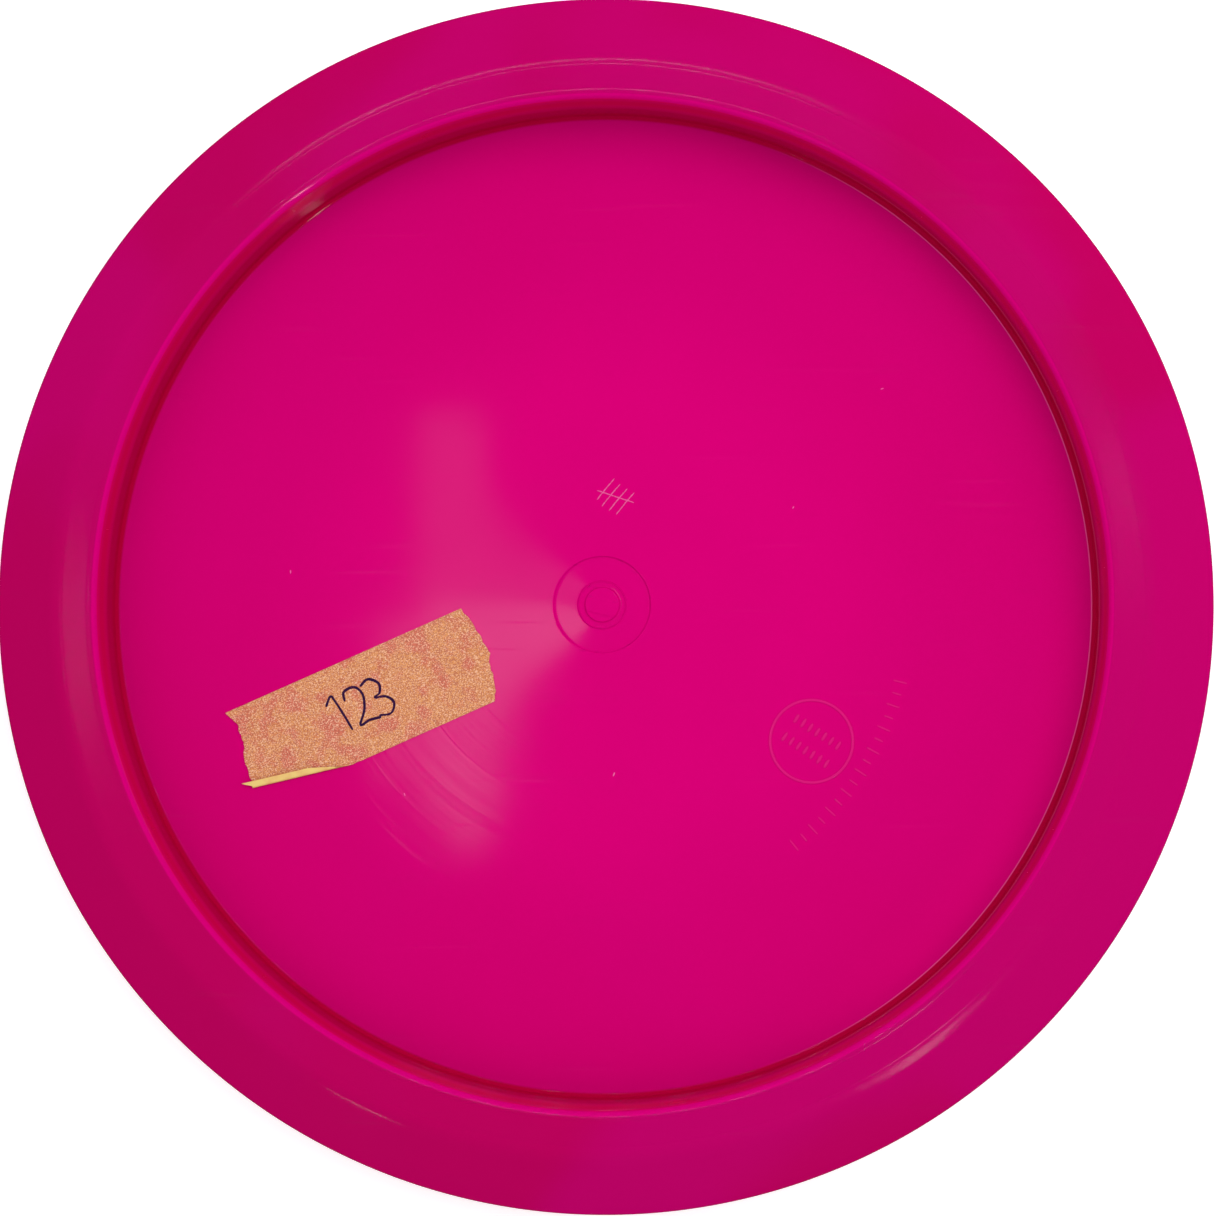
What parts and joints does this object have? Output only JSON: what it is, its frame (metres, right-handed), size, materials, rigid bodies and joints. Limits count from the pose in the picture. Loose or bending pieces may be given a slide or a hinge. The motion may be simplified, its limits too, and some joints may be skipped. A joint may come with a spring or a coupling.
{
  "type": "golf disc",
  "caption": "Flying disc for lawn disc games: thin plate with a thick bevelled rim, shown underside up, with a strip of masking tape and a pen number in the hollow.",
  "frame": {"origin": "centre of the flight plate's outer (top) face, on which the disc lies upside down", "axes": "+Z along the disc's axis, from the plate's outer face out of the open underside; +X and +Y across the disc, with the tape on the -X side"},
  "size_m": [0.211, 0.211, 0.0175],
  "materials": {
    "disc_plastic": "glossy, slightly translucent magenta urethane plastic with fine scratches",
    "silver_foil": "hot-stamped metallised foil, satin",
    "dark_foil": "hot-stamped pigment foil, dark grey",
    "tape_glue": "tacky natural rubber adhesive, yellowish",
    "crepe_paper": "tan crepe paper, mottled, matt",
    "pen_ink": "dried dark purple pen ink"
  },
  "bodies": {
    "root": {"disc_body": "disc_plastic", "stamp_chevrons": "silver_foil", "stamp_dashes": "dark_foil", "tape_adhesive": "tape_glue", "tape_backing": "crepe_paper", "pen_number": "pen_ink"}
  },
  "joints": []
}
